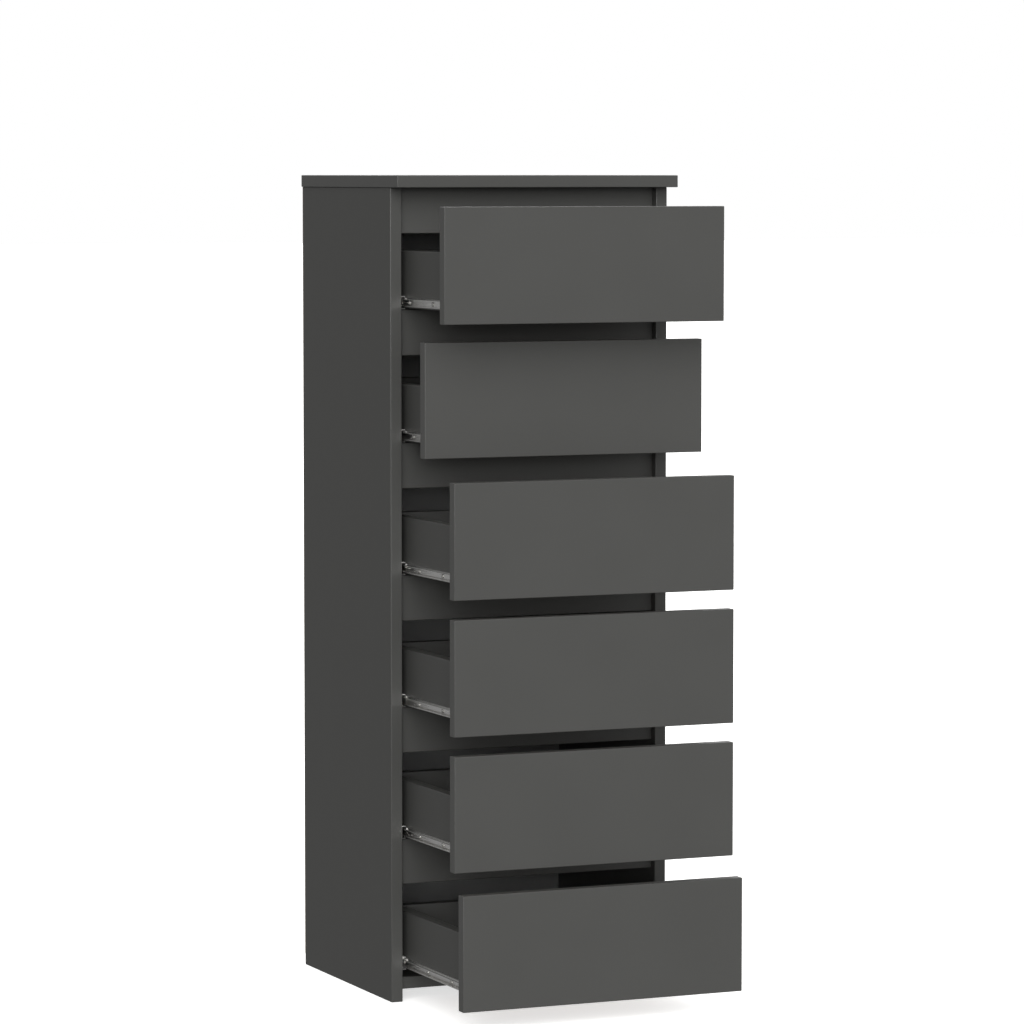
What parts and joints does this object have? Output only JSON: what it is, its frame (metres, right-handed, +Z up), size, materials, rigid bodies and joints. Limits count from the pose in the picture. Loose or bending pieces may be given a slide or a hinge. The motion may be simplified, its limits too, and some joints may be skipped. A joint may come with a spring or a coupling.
{
  "type": "tall chest of drawers",
  "caption": "Tall, narrow chest with handle-less overlay drawers on ball-bearing runners, side panels that reach the floor, and an overhanging top.",
  "frame": {"origin": "on the floor, at the centre of the footprint of the chest with its drawers open as stored", "axes": "+Z up; the drawers open towards -Y; +X to the right of someone facing the back of the chest from its front"},
  "size_m": [0.404, 0.5624, 1.0915],
  "materials": {
    "graphite_board": "matt graphite melamine-faced chipboard",
    "graphite_hardboard": "painted hardboard",
    "zinc_strip": "bright zinc-plated steel strip",
    "zinc_screw": "zinc-plated steel",
    "zinc_casting": "die-cast zinc",
    "beech": "raw beech"
  },
  "bodies": {
    "carcass": {"side_panel_left": "graphite_board", "side_panel_right": "graphite_board", "top_panel": "graphite_board", "bottom_panel": "graphite_board", "back_panel": "graphite_hardboard", "cross_rails": "graphite_board", "cabinet_runners": "zinc_strip", "runner_screws": "zinc_screw", "cam_discs": "zinc_casting", "cam_bolts": "zinc_screw", "dowels": "beech", "back_nails": "zinc_screw"},
    "drawer_1": {"drawer_1_front": "graphite_board", "drawer_1_side_left": "graphite_board", "drawer_1_side_right": "graphite_board", "drawer_1_back": "graphite_board", "drawer_1_bottom": "graphite_hardboard", "drawer_1_runners": "zinc_strip", "drawer_1_fasteners": "zinc_screw"},
    "ball_cages_1": {"drawer_1_ball_cages": "zinc_strip"},
    "drawer_2": {"drawer_2_front": "graphite_board", "drawer_2_side_left": "graphite_board", "drawer_2_side_right": "graphite_board", "drawer_2_back": "graphite_board", "drawer_2_bottom": "graphite_hardboard", "drawer_2_runners": "zinc_strip", "drawer_2_fasteners": "zinc_screw"},
    "ball_cages_2": {"drawer_2_ball_cages": "zinc_strip"},
    "drawer_3": {"drawer_3_front": "graphite_board", "drawer_3_side_left": "graphite_board", "drawer_3_side_right": "graphite_board", "drawer_3_back": "graphite_board", "drawer_3_bottom": "graphite_hardboard", "drawer_3_runners": "zinc_strip", "drawer_3_fasteners": "zinc_screw"},
    "ball_cages_3": {"drawer_3_ball_cages": "zinc_strip"},
    "drawer_4": {"drawer_4_front": "graphite_board", "drawer_4_side_left": "graphite_board", "drawer_4_side_right": "graphite_board", "drawer_4_back": "graphite_board", "drawer_4_bottom": "graphite_hardboard", "drawer_4_runners": "zinc_strip", "drawer_4_fasteners": "zinc_screw"},
    "ball_cages_4": {"drawer_4_ball_cages": "zinc_strip"},
    "drawer_5": {"drawer_5_front": "graphite_board", "drawer_5_side_left": "graphite_board", "drawer_5_side_right": "graphite_board", "drawer_5_back": "graphite_board", "drawer_5_bottom": "graphite_hardboard", "drawer_5_runners": "zinc_strip", "drawer_5_fasteners": "zinc_screw"},
    "ball_cages_5": {"drawer_5_ball_cages": "zinc_strip"},
    "drawer_6": {"drawer_6_front": "graphite_board", "drawer_6_side_left": "graphite_board", "drawer_6_side_right": "graphite_board", "drawer_6_back": "graphite_board", "drawer_6_bottom": "graphite_hardboard", "drawer_6_runners": "zinc_strip", "drawer_6_fasteners": "zinc_screw"},
    "ball_cages_6": {"drawer_6_ball_cages": "zinc_strip"}
  },
  "joints": [
    {"name": "drawer_1_slide", "type": "slide", "parent": "carcass", "child": "drawer_1", "axis": [0, -1, 0], "range_m": [-0.16206, 0.05994]},
    {"name": "ball_cages_1_slide", "type": "slide", "parent": "carcass", "child": "ball_cages_1", "axis": [0, -1, 0], "range_m": [-0.08103, 0.02997]},
    {"name": "drawer_2_slide", "type": "slide", "parent": "carcass", "child": "drawer_2", "axis": [0, -1, 0], "range_m": [-0.09613, 0.12587]},
    {"name": "ball_cages_2_slide", "type": "slide", "parent": "carcass", "child": "ball_cages_2", "axis": [0, -1, 0], "range_m": [-0.04806, 0.06294]},
    {"name": "drawer_3_slide", "type": "slide", "parent": "carcass", "child": "drawer_3", "axis": [0, -1, 0], "range_m": [-0.19403, 0.02797]},
    {"name": "ball_cages_3_slide", "type": "slide", "parent": "carcass", "child": "ball_cages_3", "axis": [0, -1, 0], "range_m": [-0.09701, 0.01399]},
    {"name": "drawer_4_slide", "type": "slide", "parent": "carcass", "child": "drawer_4", "axis": [0, -1, 0], "range_m": [-0.19403, 0.02797]},
    {"name": "ball_cages_4_slide", "type": "slide", "parent": "carcass", "child": "ball_cages_4", "axis": [0, -1, 0], "range_m": [-0.09701, 0.01399]},
    {"name": "drawer_5_slide", "type": "slide", "parent": "carcass", "child": "drawer_5", "axis": [0, -1, 0], "range_m": [-0.19403, 0.02797]},
    {"name": "ball_cages_5_slide", "type": "slide", "parent": "carcass", "child": "ball_cages_5", "axis": [0, -1, 0], "range_m": [-0.09701, 0.01399]},
    {"name": "drawer_6_slide", "type": "slide", "parent": "carcass", "child": "drawer_6", "axis": [0, -1, 0], "range_m": [-0.222, 0]},
    {"name": "ball_cages_6_slide", "type": "slide", "parent": "carcass", "child": "ball_cages_6", "axis": [0, -1, 0], "range_m": [-0.111, 0]}
  ],
  "couplings": [
    {"joint": "ball_cages_1_slide", "follows": "drawer_1_slide", "ratio": 0.5},
    {"joint": "ball_cages_2_slide", "follows": "drawer_2_slide", "ratio": 0.5},
    {"joint": "ball_cages_3_slide", "follows": "drawer_3_slide", "ratio": 0.5},
    {"joint": "ball_cages_4_slide", "follows": "drawer_4_slide", "ratio": 0.5},
    {"joint": "ball_cages_5_slide", "follows": "drawer_5_slide", "ratio": 0.5},
    {"joint": "ball_cages_6_slide", "follows": "drawer_6_slide", "ratio": 0.5}
  ]
}
